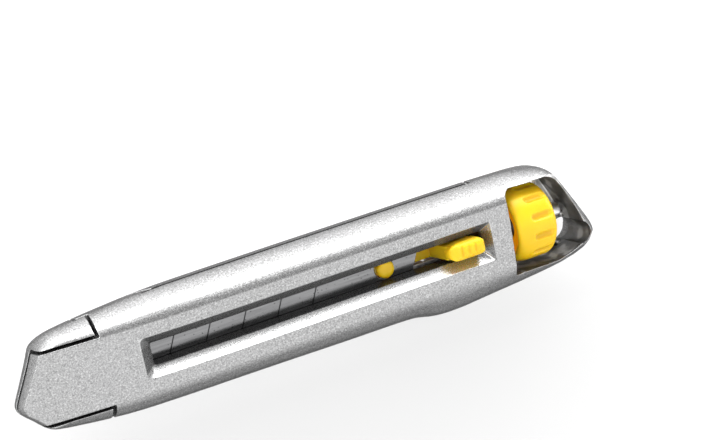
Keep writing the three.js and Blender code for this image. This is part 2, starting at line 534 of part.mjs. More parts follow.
piece('stud_pin', rodY(PIN.x, AXIS_Z, PIN.r, -PIN.half, PIN.half, 20), metal(0xa5a8ab, 0.3, 1.0));

// shift to the shared frame: footprint centre, lowest point at zero
const span = (k) => [...SPINE_SIDE, ...EDGE_SIDE].map((p) => p[k]).reduce(([lo, hi], v) => [Math.min(lo, v), Math.max(hi, v)], [Infinity, -Infinity]);
const mid = ([lo, hi]) => (lo + hi) / 2;
const ORIGIN = { x: mid(span(0)), y: mid(span(1)), z: AXIS_Z - WHEEL.r };
knife.position.set(-ORIGIN.x, -ORIGIN.y, -ORIGIN.z);

const assembly = new THREE.Group();
assembly.add(knife);
export default assembly;
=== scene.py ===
# Looks of the snap-off utility knife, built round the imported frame.
import math
import bpy
import bmesh
import numpy as np
from mathutils import Vector, Matrix


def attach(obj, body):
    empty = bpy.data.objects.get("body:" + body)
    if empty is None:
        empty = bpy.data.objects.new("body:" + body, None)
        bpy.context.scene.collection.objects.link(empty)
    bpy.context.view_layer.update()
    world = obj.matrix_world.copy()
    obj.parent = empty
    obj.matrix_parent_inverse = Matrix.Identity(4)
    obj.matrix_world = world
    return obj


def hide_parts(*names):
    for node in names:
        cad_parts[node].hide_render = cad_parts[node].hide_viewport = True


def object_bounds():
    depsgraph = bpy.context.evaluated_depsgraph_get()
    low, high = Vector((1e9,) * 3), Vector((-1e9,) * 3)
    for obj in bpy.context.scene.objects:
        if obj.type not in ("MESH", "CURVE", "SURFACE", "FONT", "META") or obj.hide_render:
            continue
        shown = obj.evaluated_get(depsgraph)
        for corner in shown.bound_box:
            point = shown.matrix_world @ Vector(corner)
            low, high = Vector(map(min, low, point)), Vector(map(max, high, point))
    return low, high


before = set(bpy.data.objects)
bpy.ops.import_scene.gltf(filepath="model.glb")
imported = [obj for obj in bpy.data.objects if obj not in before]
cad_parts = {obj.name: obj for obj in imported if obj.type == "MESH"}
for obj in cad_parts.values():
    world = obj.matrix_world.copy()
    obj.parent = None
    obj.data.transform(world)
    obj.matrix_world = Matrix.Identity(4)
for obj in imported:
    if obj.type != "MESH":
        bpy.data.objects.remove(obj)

FIRST_BOX = [[float(c) for c in p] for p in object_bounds()]
LO = np.array(FIRST_BOX[0]) * 1000
HI = np.array(FIRST_BOX[1]) * 1000

# Working axes of the knife in millimetres: X from the blade mouth to the tail, Y across with + at
# the spine, Z through the thickness from the flat back face. ORG takes them to the shared frame.
ORG = np.array([-1.55, -16.8, -2.45]) - LO


# ---------------------------------------------------------------- mesh tools
def fresh(name, verts, faces):
    me = bpy.data.meshes.new(name)
    me.from_pydata([tuple(map(float, v)) for v in verts], [], [tuple(map(int, f)) for f in faces])
    me.update()
    ob = bpy.data.objects.new(name, me)
    bpy.context.scene.collection.objects.link(ob)
    return ob


def evaluated(ob):
    """Replaces ob's mesh by what its modifiers give."""
    bpy.context.view_layer.update()
    dg = bpy.context.evaluated_depsgraph_get()
    me = bpy.data.meshes.new_from_object(ob.evaluated_get(dg))
    ob.modifiers.clear()
    old = ob.data
    ob.data = me
    bpy.data.meshes.remove(old)
    return ob


def outward(ob):
    bm = bmesh.new()
    bm.from_mesh(ob.data)
    bmesh.ops.recalc_face_normals(bm, faces=bm.faces)
    if bm.calc_volume(signed=True) < 0:
        bmesh.ops.reverse_faces(bm, faces=bm.faces)
    bm.to_mesh(ob.data)
    bm.free()
    return ob


class Solid:
    """A closed mesh with + - & as booleans. The right-hand solid is used up."""
    def __init__(self, ob):
        self.ob = ob

    def _do(self, other, kind):
        m = self.ob.modifiers.new("cut", "BOOLEAN")
        m.operation, m.solver, m.object = kind, "MANIFOLD", other.ob
        evaluated(self.ob)
        bpy.data.objects.remove(other.ob)
        return self

    def __add__(self, o): return self._do(o, "UNION")
    def __sub__(self, o): return self._do(o, "DIFFERENCE")
    def __and__(self, o): return self._do(o, "INTERSECT")


def prism(pts, a, b, place):
    """Outline pts swept from a to b; place(u, v, w) gives x, y, z."""
    n = len(pts)
    v = [place(u, w, a) for u, w in pts] + [place(u, w, b) for u, w in pts]
    f = [tuple(range(n)), tuple(range(n, 2 * n))[::-1]]
    f += [(i, i + n, (i + 1) % n + n, (i + 1) % n) for i in range(n)]
    ob = fresh("p", v, f)
    bm = bmesh.new()
    bm.from_mesh(ob.data)
    bmesh.ops.triangulate(bm, faces=[q for q in bm.faces if len(q.verts) > 4], ngon_method="EAR_CLIP")
    bm.to_mesh(ob.data)
    bm.free()
    return Solid(outward(ob))


def plan(pts, z0, z1): return prism(pts, z0, z1, lambda u, v, w: (u, v, w))
def elevation(pts, y0, y1): return prism(pts, y0, y1, lambda u, v, w: (u, w, v))
def section(pts, x0, x1): return prism(pts, x0, x1, lambda u, v, w: (w, u, v))


def block(x0, x1, y0, y1, z0, z1):
    return plan([(x0, y0), (x1, y0), (x1, y1), (x0, y1)], z0, z1)


AXIS_Z = 7.8


def turned(profile, n=96):
    """Turned piece about the lock axis; profile [x, r], closed, or with both ends on the axis."""
    ring = [i for i, (x, r) in enumerate(profile) if r > 1e-9]
    open_ends = profile[0][1] <= 1e-9
    v, f = [], []
    for x, r in profile:
        if r <= 1e-9:
            v.append((x, 0, AXIS_Z))
        else:
            for k in range(n):
                a = 2 * math.pi * k / n
                v.append((x, r * math.cos(a), AXIS_Z + r * math.sin(a)))
    base, c = [], 0
    for x, r in profile:
        base.append(c)
        c += 1 if r <= 1e-9 else n
    m = len(profile)
    for i in range(m if not open_ends else m - 1):
        j = (i + 1) % m
        p, q = profile[i][1] > 1e-9, profile[j][1] > 1e-9
        for k in range(n):
            l = (k + 1) % n
            if p and q:
                f.append((base[i] + k, base[i] + l, base[j] + l, base[j] + k))
            elif q:
                f.append((base[i], base[j] + l, base[j] + k))
            elif p:
                f.append((base[i] + k, base[i] + l, base[j]))
    return Solid(outward(fresh("t", v, f)))


def rod(axis, x, y, z, r, a, b, n=48):
    pts = [(r * math.cos(2 * math.pi * k / n), r * math.sin(2 * math.pi * k / n)) for k in range(n)]
    if axis == "x":
        return prism(pts, a, b, lambda u, v, w: (w, y + u, z + v))
    if axis == "y":
        return prism(pts, a, b, lambda u, v, w: (x + u, w, z + v))
    return prism(pts, a, b, lambda u, v, w: (x + u, y + v, w))


def round_rect(x0, x1, y0, y1, r, n=8):
    pts = []
    for cx, cy, a0 in ((x1 - r, y1 - r, 0), (x0 + r, y1 - r, .5), (x0 + r, y0 + r, 1), (x1 - r, y0 + r, 1.5)):
        for i in range(n + 1):
            a = a0 * math.pi + i / n * math.pi / 2
            pts.append((cx + r * math.cos(a), cy + r * math.sin(a)))
    return pts


def y_block(x0, x1, s, ya, yb, z0, z1):
    return block(x0, x1, min(s * ya, s * yb), max(s * ya, s * yb), z0, z1)


def both(make): return make(1) + make(-1)


def softened(solid, voxel, passes=3, keep=None):
    """Remeshes a solid to even quads, which rounds every edge by about a voxel and a half."""
    ob = solid.ob
    m = ob.modifiers.new("even", "REMESH")
    m.mode, m.voxel_size, m.adaptivity, m.use_smooth_shade = "VOXEL", voxel, 0.0, True
    s = ob.modifiers.new("soft", "SMOOTH")
    s.factor, s.iterations = 0.5, passes
    if keep:
        d = ob.modifiers.new("thin", "DECIMATE")
        d.ratio = keep
    evaluated(ob)
    return ob


def placed(ob, name, body, material, nodes=()):
    """Puts a finished mesh in the shared frame and ties it to its body."""
    me = ob.data
    co = np.empty(len(me.vertices) * 3, np.float32)
    me.vertices.foreach_get("co", co)
    co = co.reshape(-1, 3).astype(float) - ORG
    co = np.clip(co, LO + 0.005, HI - 0.005) * 0.001
    me.vertices.foreach_set("co", co.astype(np.float32).ravel())
    me.update()
    me.materials.clear()
    me.materials.append(material)
    ob.name = me.name = name
    me.shade_smooth()
    if nodes:
        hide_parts(*nodes)
    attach(ob, body)
    return ob


# ---------------------------------------------------------- handle surfaces
SPINE_SIDE = np.array([
    [-1.55, -3.7], [-1.42, -2.95], [-0.85, -1.75], [1.75, 2.85], [4, 7], [4.75, 8.5], [5.55, 9.9], [6.6, 10.81],
    [8.2, 11.64], [10.5, 12.29], [14.5, 12.8], [20, 13.29], [25, 13.68], [33, 14.23], [40, 14.55], [48, 14.65],
    [60, 14.7], [75, 14.75], [90, 14.75], [105, 14.75], [120, 14.75], [132, 14.7], [139, 14.6], [145, 14.4],
    [148.5, 14.12], [150.8, 13.78], [152.8, 13.19], [154.5, 12.1], [156, 10.35], [157.9, 7.3], [160.4, 3.1],
    [162.4, -0.7], [163.7, -3.3], [164.4, -5.2], [164.6, -6.8]])
EDGE_SIDE = np.array([
    [-1.55, -3.7], [-1.3, -4.8], [-0.5, -5.8], [1.1, -7.3], [4, -10.1], [5.8, -11.08], [8.3, -11.79], [13, -12.47],
    [18.5, -13.11], [24, -13.61], [29, -13.88], [37, -14.05], [45, -14.15], [60, -14.3], [70, -14.45], [80, -14.65],
    [90, -14.8], [100, -14.9], [104, -15], [107, -15.2], [109.5, -15.7], [112, -16.3], [115, -16.7], [118, -16.8],
    [121.5, -16.75], [125, -16.5], [130, -16.1], [138, -15.5], [145, -14.95], [150, -14.4], [154, -13.9],
    [157.5, -13.2], [160.5, -12.1], [162.4, -10.8], [163.6, -9.4], [164.3, -8.2], [164.6, -6.8]])
SEAM, FLAT = 7.3, 8.5
HALF_T = np.array([[-1, 3.2], [2, 3.8], [5, 4.4], [8.5, 5.0], [12, 5.5], [17, 6.2], [22, 6.72], [28, 7.25],
                   [35, 7.7], [42, 8.0], [50, 8.17], [60, 8.25], [170, 8.25]])
MIDDLE = np.array([[0, 7.8], [20, 7.8], [40, 8.05], [60, 8.25], [170, 8.25]])
POWER_DOWN = 3.3
POWER_SPINE = np.array([[8, 1.8], [20, 1.55], [140, 1.5], [155, 2.3], [160, 1.8]])
POWER_EDGE = np.array([[8, 2.0], [30, 2.1], [140, 2.1], [155, 1.55]])
TAIL_UP, TAIL_DOWN = 4.1, 3.0

GRID = np.arange(-12, 182, 0.25)


def fair(table, width=2.2):
    """The table smoothed over a few millimetres, so that the faces have no kinks."""
    y = np.interp(GRID, table[:, 0], table[:, 1])
    k = np.exp(-0.5 * (np.arange(-24, 25) * 0.25 / width) ** 2)
    return np.convolve(np.pad(y, 24, "edge"), k / k.sum(), "valid")


HALF_F, MID_F = fair(HALF_T), fair(MIDDLE)
def top_z(x): return np.interp(x, GRID, MID_F + HALF_F)
def bot_z(x): return np.interp(x, GRID, MID_F - HALF_F)
def at(table, x): return np.interp(x, table[:, 0], table[:, 1])


def dense(chain, step=0.7):
    """A smooth curve through the chain (centripetal Catmull-Rom)."""
    p = np.vstack([2 * chain[0] - chain[1], chain, 2 * chain[-1] - chain[-2]])
    out = []
    for i in range(1, len(p) - 2):
        a, b, c, d = p[i - 1:i + 3]
        t0, t1 = 0, np.linalg.norm(b - a) ** .5
        t2 = t1 + np.linalg.norm(c - b) ** .5
        t3 = t2 + np.linalg.norm(d - c) ** .5
        n = max(2, int(np.ceil(np.linalg.norm(c - b) / step)))
        t = np.linspace(t1, t2, n, endpoint=False)[:, None]
        A1 = (t1 - t) / (t1 - t0) * a + (t - t0) / (t1 - t0) * b
        A2 = (t2 - t) / (t2 - t1) * b + (t - t1) / (t2 - t1) * c
        A3 = (t3 - t) / (t3 - t2) * c + (t - t2) / (t3 - t2) * d
        B1 = (t2 - t) / (t2 - t0) * A1 + (t - t0) / (t2 - t0) * A2
        B2 = (t3 - t) / (t3 - t1) * A2 + (t - t1) / (t3 - t1) * A3
        out.append((t2 - t) / (t2 - t1) * B1 + (t - t1) / (t2 - t1) * B2)
    return np.vstack(out + [chain[-1:]])


def inward(chain, sign):
    d = np.empty_like(chain)
    d[1:-1] = chain[2:] - chain[:-2]
    d[0], d[-1] = chain[1] - chain[0], chain[-1] - chain[-2]
    d /= np.linalg.norm(d, axis=1)[:, None]
    n = np.c_[d[:, 1], -d[:, 0]] * sign
    n[0], n[-1] = (1, 0), (-1, 0)
    return n


def shoulder(x, y, up):
    side = np.maximum(np.abs(y) - FLAT, 0.8)
    nose = np.clip((x - 4.5) / 4.5, 0, 1)
    tail = np.clip((x - 140) / 13, 0, 1)
    tail = tail * tail * (3 - 2 * tail)
    mid = 0.8 + (side - 0.8) * nose
    return mid + ((TAIL_UP if up else TAIL_DOWN) - mid) * tail


def skin(levels):
    """Closed skin from rings of a spine chain and an edge chain with shared ends."""
    verts, faces, rings = [], [], []
    for sp, ed in levels:
        loop = np.vstack([sp, ed[1:-1][::-1]])
        rings.append((sum(len(r[3]) for r in rings), len(sp), len(ed), loop))
        verts.append(loop)
    n = len(rings[0][3])
    for a, b in zip(rings, rings[1:]):
        for i in range(n):
            j = (i + 1) % n
            faces.append((a[0] + i, a[0] + j, b[0] + j, b[0] + i))
    for ring in (rings[0], rings[-1]):
        base, ns, ne, loop = ring
        s = list(range(ns))
        e = [0] + list(range(len(loop) - 1, ns - 1, -1)) + [ns - 1]
        i = j = 0
        while i < len(s) - 1 or j < len(e) - 1:
            xs = loop[s[i + 1]][0] if i < len(s) - 1 else 1e9
            xe = loop[e[j + 1]][0] if j < len(e) - 1 else 1e9
            if xs <= xe:
                tri = (s[i], s[i + 1], e[j]); i += 1
            else:
                tri = (s[i], e[j + 1], e[j]); j += 1
            if len(set(tri)) == 3:
                faces.append(tuple(t + base for t in tri))
    return Solid(outward(fresh("skin", np.vstack(verts), faces)))


def handle_body():
    S, E = dense(SPINE_SIDE), dense(EDGE_SIDE)
    nS, nE = inward(S, 1), inward(E, -1)
    END = math.radians(80)

    def level(phi, up):
        def side(ch, nm, pw):
            q = 2 / (at(pw, ch[:, 0]) if up else np.full(len(ch), POWER_DOWN))
            c1, s1 = math.cos(END) ** q, math.sin(END) ** q
            d = (1 - math.cos(phi) ** q) / (1 - c1) if phi else 0 * q
            h = math.sin(phi) ** q / s1 if phi else 0 * q
            p = ch + nm * (shoulder(ch[:, 0], ch[:, 1], up) * d)[:, None]
            z = top_z(p[:, 0]) if up else bot_z(p[:, 0])
            return np.c_[p, SEAM + (z - SEAM) * h]
        a, b = side(S, nS, POWER_SPINE), side(E, nE, POWER_EDGE)
        b[0], b[-1] = a[0], a[-1]
        return a, b
    n = 18
    down = [level(END * (k / n), False) for k in range(n, 0, -1)]
    upper = [level(END * (k / n) ** 1.15, True) for k in range(1, n + 1)]
    return skin(down + [level(0, True)] + upper)


# --------------------------------------------------------- the two castings
SEAM_LO, SEAM_HI = 7.3, 7.65
LUG_Y, LUG_IN, LUG_BACK_Y, LUG_BACK_IN = 8.75, 9.55, 10.45, 10.9
LUG_TOP_X, LUG_TOP_GAP, LUG_X, LUG_GAP = 20.05, 0.9, 17.0, 0.9
WEDGE, RAMP, RAMP_X, RAMP_GAP = 0.1, 1.75, 28.22, 1.1
CH_Y, CH_LO, CH_HI, CH_END = 9.3, 6.9, 8.0, 128
FS = dict(x0=30.0, x1=131.1, y=5.3, ix0=33.5, ix1=129.2, iy=2.85, depth=3.0)
BS = dict(x0=38.8, x1=129.9, y=5.05, wall=2.3)
POCKET = dict(x0=35.6, x1=39.1, y=2.6, z=4.8)
BULK_X0, WIN_X0, WIN_X1, WIN_Y, WIN_R, WIN_DRAFT = 135.3, 137.2, 153.0, 11.5, 3.1, 1.05
WEB_LO, WEB_HI = 3.6, 5.3
HANG = (158.0, -6.0, 3.0)
COLLAR = (4.25, 6.1)
BOSS = dict(x0=130.4, x1=134.3, y=5.0, z1=11.6, bore=3.4)
PIN = dict(x=132.4, r=0.75, half=4.85, hole=1.05)
SEAM_TAIL = [(135.45, 7.4), (135.1, 9.2), (134.5, 10.9), (133.7, 12.2), (132.8, 13.3), (131.6, 14.6), (130.6, 15.6)]
SEAM_TAIL_EDGE = [(135.45, -4.2), (135.1, -5.9), (134.25, -8.2), (132.65, -10.8), (131.1, -13.2), (130.0, -14.6), (129.0, -16.2), (128.2, -17.6)]
RECESS = [(146, 11.6), (150.6, 11.6), (152.0, 11.2), (153.1, 10.45), (154.25, 9.05), (156.05, 5.6), (157.85, 1.3),
          (158.9, -2.4), (159.3, -4.85), (159.15, -6.5), (158.5, -7.85), (157.4, -8.85), (156.0, -9.5), (153.4, -10.45), (150.5, -11.1), (146, -11.6)]
RECESS_BACK = [(149, 11.3), (151.0, 11.1), (152.9, 10.7), (154.3, 9.8), (155.8, 7.9), (157.8, 4.8), (159.8, 1.4), (161.4, -1.5),
               (162.2, -4.3), (162.1, -6.5), (161.3, -8.3), (159.6, -9.6), (156.8, -10.2), (149, -10.9)]


def tail_seam(dx):
    p = np.array(SEAM_TAIL[::-1] + SEAM_TAIL_EDGE, float)
    k = 4
    a, b = dense(p[:len(SEAM_TAIL)], 0.5), dense(p[len(SEAM_TAIL):], 0.5)
    return [(x + dx, y) for x, y in np.vstack([a, b])]


def signed(s, inner): return (inner, 20) if s > 0 else (-20, -inner)


def back_region():
    seam = tail_seam(0)
    lower = plan([(-10, -20), (seam[-1][0], -20)] + seam[::-1] + [(seam[0][0], 20), (-10, 20)], -5, SEAM_LO)
    f = [(LUG_X - WEDGE * 3.5, -2), (LUG_X + WEDGE * 8.5, 10)]
    r0 = max(RAMP_X + RAMP_GAP - RAMP * 3.5, 26)
    r1 = (RAMP_X + RAMP_GAP + RAMP * 8.5, 10)
    cut = both(lambda s: elevation([f[0], (r0, -2), (r0, (r0 - RAMP_X - RAMP_GAP) / RAMP + 1.5), r1, f[1]], *signed(s, LUG_BACK_Y)))
    lugs = both(lambda s: elevation([
        (-10, SEAM_LO - 1), (LUG_X + WEDGE * (SEAM_LO - 2.5), SEAM_LO - 1), (LUG_X + WEDGE * (SEAM_LO - 1.5), SEAM_LO),
        (LUG_TOP_X + 0.55, SEAM_LO), (LUG_TOP_X, 12.5), (LUG_TOP_X, 20), (-10, 20)], *signed(s, LUG_IN)))
    return lower - cut + lugs


def front_region():
    upper = plan([(-10, -20), (170, -20), (170, 20), (-10, 20)], SEAM_HI, 22)
    x = LUG_TOP_X + LUG_TOP_GAP
    cut = both(lambda s: elevation([(-10, SEAM_HI - 3), (x + 0.55, SEAM_HI - 3), (x + 0.55, SEAM_HI), (x, 12.5), (x, 22), (-10, 22)], *signed(s, LUG_Y)))
    f = LUG_X + LUG_GAP
    x0 = max(RAMP_X - RAMP * 3.5, 25)
    lugs = both(lambda s: elevation([
        (f - WEDGE * 3.5, -2), (x0, -2), (x0, (x0 - RAMP_X) / RAMP + 1.5), (RAMP_X + RAMP * (SEAM_HI - 1.4), SEAM_HI + 0.1),
        (x + 0.56, SEAM_HI + 0.1), (x + 0.56, SEAM_LO - 0.3), (f + WEDGE * (SEAM_LO - 0.3 - 1.5), SEAM_LO - 0.3)], *signed(s, LUG_BACK_IN)))
    seam = tail_seam(0.85)
    tail = plan([(seam[0][0], 20)] + seam + [(seam[-1][0], -20), (170, -20), (170, 20)], -5, 22)
    return upper - cut + lugs + tail


def front_slot():
    g = FS

    def outline(x0, x1, y, r0, r):
        def chain(s):
            p = [(x0, 0)]
            n = 10
            for i in range(n + 1):
                a = math.pi - i / n * math.pi / 2
                p.append((x0 + r0 + r0 * math.cos(a), s * (y - r0 + r0 * math.sin(a))))
            p += [(q, s * y) for q in range(int(x0 + r0) + 2, int(x1 - r) - 1, 2)]
            for i in range(n + 1):
                a = math.pi / 2 - i / n * math.pi / 2
                p.append((x1 - r + r * math.cos(a), s * (y - r + r * math.sin(a))))
            return np.array(p + [(x1, 0)])
        return chain(1), chain(-1)

    def lift(chains, dz):
        return tuple(np.c_[c, top_z(c[:, 0]) + dz] for c in chains)
    k = 1 / g["depth"]
    w, a, b = (g["y"] - g["iy"]) * k, (g["ix0"] - g["x0"]) * k, (g["x1"] - g["ix1"]) * k
    o0 = outline(g["ix0"], g["ix1"], g["iy"], 0.4, 0.4)
    o1 = outline(g["x0"] - a, g["x1"] + b, g["y"] + w, 1.8, 0.6)
    if len(o0[0]) != len(o1[0]):
        n = min(len(o0[0]), len(o1[0]))
        def same(c):
            m = len(c[0]) - n
            return tuple(np.vstack([q[:14], q[14 + m:]]) for q in c) if m else c
        o0, o1 = same(o0), same(o1)
    mouth = skin([lift(o0, -g["depth"]), lift(o1, 1)])
    return mouth + plan(round_rect(g["ix0"], g["ix1"], -g["iy"], g["iy"], 0.4), 5, 15)


def window_draft():
    """Drafted nose edge of the window, opening towards the edge side of the front face."""
    v = [(WIN_X0 + ((0.06 if (sp or not hi) else -WIN_DRAFT) if no else 1.8), (WIN_Y - WIN_R - 0.1) if sp else -WIN_Y, 18 if hi else 9.4)
         for hi in (0, 1) for sp in (0, 1) for no in (1, 0)]
    f = [(0, 1, 3, 2), (4, 6, 7, 5), (0, 4, 5, 1), (2, 3, 7, 6), (1, 5, 7, 3), (0, 2, 6), (0, 6, 4)]
    return Solid(outward(fresh("draft", v, f)))


def front_shell():
    s = handle_body() & front_region()
    s = s - block(-5, CH_END, -CH_Y, CH_Y, 5, CH_HI)
    s = s - front_slot()
    s = s - both(lambda k: y_block(38, 126, k, 4.6, 11.0, 6, 13.6))
    s = s - block(129.2, BULK_X0 + 0.02, -BOSS["y"] - 0.6, BOSS["y"] + 0.6, 6, BOSS["z1"] + 0.6)
    s = s - block(BULK_X0 - 2, WIN_X0 + 1, -3.6, 3.6, -5, AXIS_Z)
    s = s - rod("x", 0, 0, AXIS_Z, 3.6, BULK_X0 - 2, WIN_X0 + 1)
    s = s - plan(round_rect(WIN_X0, WIN_X1, -WIN_Y, WIN_Y, WIN_R), -5, 22)
    rec = [tuple(p) for p in np.vstack([RECESS[:1], dense(np.array(RECESS[1:-1]), 0.4), RECESS[-1:]])]
    recb = [tuple(p) for p in np.vstack([RECESS_BACK[:1], dense(np.array(RECESS_BACK[1:-1]), 0.4), RECESS_BACK[-1:]])]
    s = s - window_draft()
    s = s - plan(rec, WEB_HI, 22)
    s = s - plan(recb, -5, WEB_LO)
    collar = rod("z", HANG[0], HANG[1], 0, COLLAR[0], WEB_HI - 0.5, COLLAR[1], 96)
    s = s + (collar & plan(rec, 0, 22))
    s = s - rod("z", HANG[0], HANG[1], 0, HANG[2], -5, 22, 64)
    return s - block(150, 155.2, -3.5, 3.5, 2, 8)


def back_shell():
    s = handle_body() & back_region()
    s = s - block(-5, CH_END, -CH_Y, CH_Y, CH_LO, CH_HI + 0.15)
    s = s - block(BS["x0"], 129.6, -11, 11, BS["wall"], 9)
    s = s + both(lambda k: y_block(BS["x0"] - 1, 129, k, 7.2, 8.7, BS["wall"] - 0.2, CH_LO))
    s = s - block(BS["x0"], BS["x1"], -BS["y"], BS["y"], -5, BS["wall"] + 0.5)
    s = s - block(POCKET["x0"], BS["x0"] + 0.2, -BS["y"], BS["y"], BS["wall"], CH_LO + 0.1)
    s = s + both(lambda k: y_block(POCKET["x0"] - 0.4, POCKET["x1"], k, POCKET["y"], BS["y"] + 0.5, POCKET["z"], CH_LO))
    s = s + block(BOSS["x0"], BOSS["x1"], -BOSS["y"], BOSS["y"], BS["wall"] - 0.3, BOSS["z1"])
    s = s - rod("x", 0, 0, AXIS_Z, BOSS["bore"], BOSS["x0"] - 1, BOSS["x1"] + 2)
    return s - rod("y", PIN["x"], 0, AXIS_Z, PIN["hole"], -BOSS["y"] - 1, BOSS["y"] + 1, 24)


# ------------------------------------------------------------ small pieces
PITCH, TOOTH_GAP = 5.06, 1.3
RACK = dict(x0=43.4, x1=125.1, y0=2.3, y1=6.8, z0=3.0, z1=6.4, seat=2.6)
PEG = (102.4, 2.5, 2.9, 9.5)
WHEEL = dict(x0=139.0, x1=151.4, r=10.25, bore=4.5, grooves=12)


def moved(solid, matrix):
    solid.ob.data.transform(matrix)
    return solid


def rack_rail(side):
    s = y_block(RACK["x0"], RACK["x1"], side, RACK["y0"], RACK["y1"], RACK["z0"], RACK["z1"])
    s = s + y_block(RACK["x0"], RACK["x1"], side, BS["y"] + 0.25, RACK["y1"], RACK["seat"], RACK["z1"] - 0.5)
    for k in range(1, 17):
        c = 126.0 - PITCH * k
        if c - 0.8 < RACK["x0"]:
            break
        s = s - y_block(c - TOOTH_GAP / 2, c + TOOTH_GAP / 2, side, RACK["y0"] - 1, BS["y"] + 0.2, RACK["z0"] - 1, 5.3)
    return s


def slider():
    end = [(100.4, 1.9), (100.1, 1.78), (100.0, 1.5), (100.0, -1.5), (100.1, -1.78), (100.4, -1.9)]
    s = plan(end + [(127.2, -1.9), (127.2, 1.9)], 2.6, 5.5)
    s = s + rod("z", PEG[0], 0, 0, 1.85, 5.3, 7.2)
    dome = [(7.0, 0), (7.0, PEG[1])] + [(8.6 + 0.9 * math.sin(a), PEG[1] - 0.0 - (1 - math.cos(a)) * 1.3) for a in np.linspace(0, math.pi / 2, 10)] + [(PEG[3], 0)]
    peg = turned(dome, 48)
    peg.ob.data.transform(Matrix.Translation((PEG[0], 0, 0)) @ Matrix.Rotation(-math.pi / 2, 4, "Y") @ Matrix.Translation((0, 0, -AXIS_Z)))
    s = s + peg
    s = s + elevation([(117.5, 5.0), (127.0, 5.0), (127.0, 14), (118.0, 14)], -1.9, 1.9)
    s = s + plan(round_rect(125.6, 128.8, -4.4, 4.4, 0.35), 1.55, 2.7)
    s = s + plan(round_rect(126.2, 128.2, -3.6, 3.6, 0.3), 1.3, 1.8)
    s = s + both(lambda k: y_block(125.6, 126.4, k, 2.6, 4.3, 2.5, 4.6))
    s = s + block(125.6, 128.4, -1.9, 1.9, 2.0, 3.0)
    # thumb pad: domed both ways, narrower at the nose end, with shallow grooves across it
    x0, x1 = 117.6, 128.3
    top = [(x0, 13.2)] + [(x0 + 2.6 * (1 - math.cos(a)), 15.0 + (17.28 - 15.0) * math.sin(a)) for a in np.linspace(0, math.pi / 2, 12)[:-1]]
    for x in np.arange(x0 + 2.6, x1 - 1.5, 0.12):
        z = 17.85 - 0.028 * (x - 124.2) ** 2
        for g in (121.1, 123.1, 125.1):
            z -= 0.45 * math.exp(-((x - g) / 0.42) ** 2)
        top.append((x, z))
    top += [(x1 - 1.5 * (1 - math.cos(a)), 15.9 + (17.62 - 15.9) * math.sin(a)) for a in np.linspace(math.pi / 2, 0, 10)[1:]] + [(x1, 13.2)]
    half = 2.5
    round_ = [(half * math.cos(a), 15.4 + 2.5 * math.sin(a)) for a in np.linspace(0, math.pi, 33)]
    side = dense(np.array([(x0, 0.5), (x0 + 0.25, 1.1), (x0 + 0.9, 1.75), (x0 + 2.2, 2.25), (x0 + 4.5, 2.58), (x0 + 7, 2.62), (125.9, 2.55), (126.9, 2.25), (127.7, 1.65), (128.15, 0.95), (x1, 0.4)], float), 0.25)
    outline = [(q[0], q[1]) for q in side] + [(q[0], -q[1]) for q in side[::-1]]
    pad = elevation(top, -3, 3) & section([(-half, 12), (half, 12)] + round_, x0 - 1, x1 + 1) & plan(outline, 12, 20)
    return s + pad


def lock_wheel():
    w = WHEEL
    p = [(w["x1"], w["bore"]), (w["x1"], 5.6)]
    p += [(148.2 + 3.2 * math.sin(a) ** 1.0, 5.6 + (w["r"] - 5.6) * math.cos(a) ** 0.75) for a in np.linspace(math.radians(86), 0, 14)]
    p += [(143.4 - 4.4 * math.sin(a) ** 1.1, 8.1 + (w["r"] - 8.1) * math.cos(a) ** 0.9) for a in np.linspace(0, math.radians(84), 12)]
    p += [(139.0, 7.8), (139.1, 7.45), (139.4, 7.15), (140.2, 6.9), (140.5, 6.5), (140.5, 3.5), (141.5, 3.5), (141.5, w["bore"])]
    s = turned(p, 180)
    # shallow oblong finger grooves
    ra, half = 1.5, 2.9
    for i in range(w["grooves"]):
        a = (i + 0.52) * 2 * math.pi / w["grooves"]
        cap = [(146.95 - half - ra * math.cos(t), ra * math.sin(t)) for t in np.linspace(0, math.pi / 2, 9)]
        cap += [(2 * 146.95 - x, r) for x, r in cap[::-1]]
        c = turned(cap, 48)
        m = Matrix.Translation((0, 0, AXIS_Z)) @ Matrix.Rotation(a, 4, "X") @ Matrix.Translation((0, 0, w["r"] + 0.9)) @ Matrix.Translation((0, 0, -AXIS_Z))
        s = s - moved(c, m)
    return s


def ring(x0, x1, r, bore, c=0.25, n=128):
    prof = [(x0, bore + 0.1), (x0 + 0.1, bore), (x1 - 0.1, bore), (x1, bore + 0.1), (x1, r - c), (x1 - 0.3 * c, r - 0.3 * c),
            (x1 - c, r), (x0 + c, r), (x0 + 0.3 * c, r - 0.3 * c), (x0, r - c)]
    return turned(prof, n)


